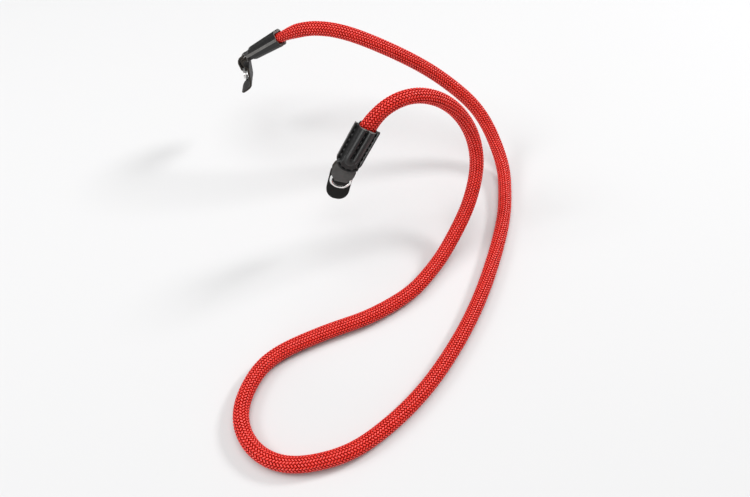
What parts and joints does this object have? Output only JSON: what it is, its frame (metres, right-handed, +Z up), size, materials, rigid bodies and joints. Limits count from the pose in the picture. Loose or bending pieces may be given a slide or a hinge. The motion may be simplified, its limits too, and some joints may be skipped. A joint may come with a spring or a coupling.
{
  "type": "camera neck strap",
  "caption": "Neck strap of round braided rope with stitched leather ends that hold steel split rings, hung by its rings and led in a loose loop.",
  "frame": {"origin": "centre of the near split ring, where the strap hangs on a lug", "axes": "+X runs level from the far ring's centre to the near ring's centre, +Y runs level to the side where the ends lead the rope, +Z is up"},
  "size_m": [0.3117, 0.3056, 0.1237],
  "materials": {
    "rope_braid": "soft braided synthetic yarn, satin",
    "leather": "smooth black leather with a fine grain, satin",
    "ring_steel": "bright plated steel wire"
  },
  "bodies": {
    "root": {"rope": "rope_braid", "near_wrap_front": "leather", "near_wrap_back": "leather", "near_tab": "leather", "near_pad": "leather", "near_ring": "ring_steel", "far_wrap_front": "leather", "far_wrap_back": "leather", "far_tab": "leather", "far_pad": "leather", "far_ring": "ring_steel"}
  },
  "joints": []
}
